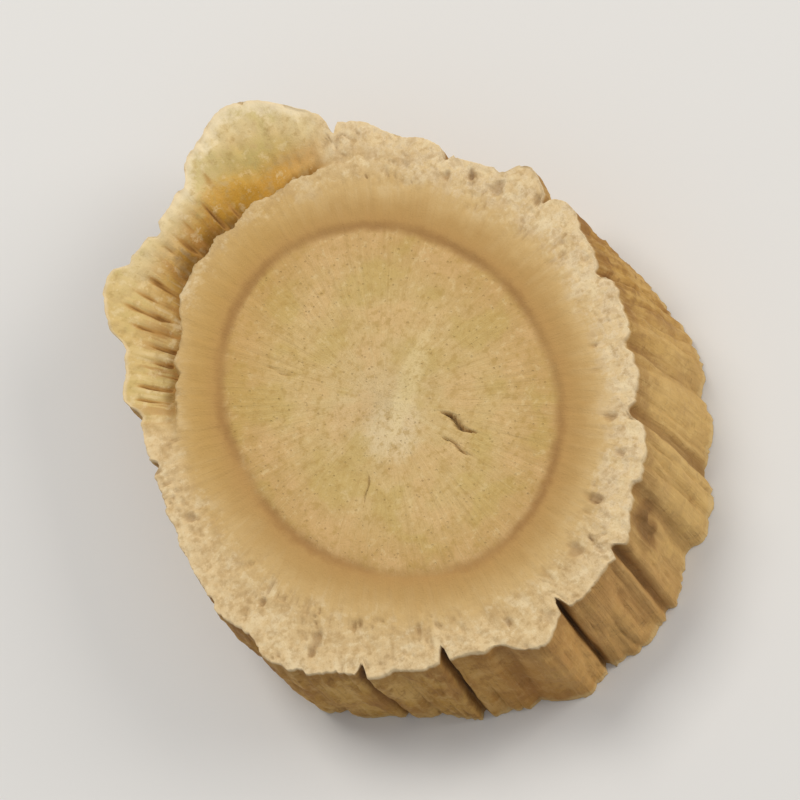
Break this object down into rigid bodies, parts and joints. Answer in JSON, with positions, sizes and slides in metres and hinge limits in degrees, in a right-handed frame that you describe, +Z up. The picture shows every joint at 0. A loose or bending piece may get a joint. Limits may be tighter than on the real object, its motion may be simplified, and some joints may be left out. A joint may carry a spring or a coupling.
{
  "type": "astragalus root slice",
  "caption": "Thick slanting slice of dried astragalus root with a pale wood disc, a thin growth ring, a furrowed bark side and a lifted flap of bark.",
  "frame": {"origin": "on the surface that the slice lies on, under the middle of its box", "axes": "+Z up through the slice from its lower cut to its upper cut; +Y the long way across it, towards the lifted flap of bark; +X across its short way"},
  "size_m": [0.0224, 0.029, 0.0055],
  "materials": {
    "dry_root": "dry and matt: straw-coloured wood, cream bark and a tan brown furrowed side"
  },
  "bodies": {
    "root": {"root_slice": "dry_root"}
  },
  "joints": []
}
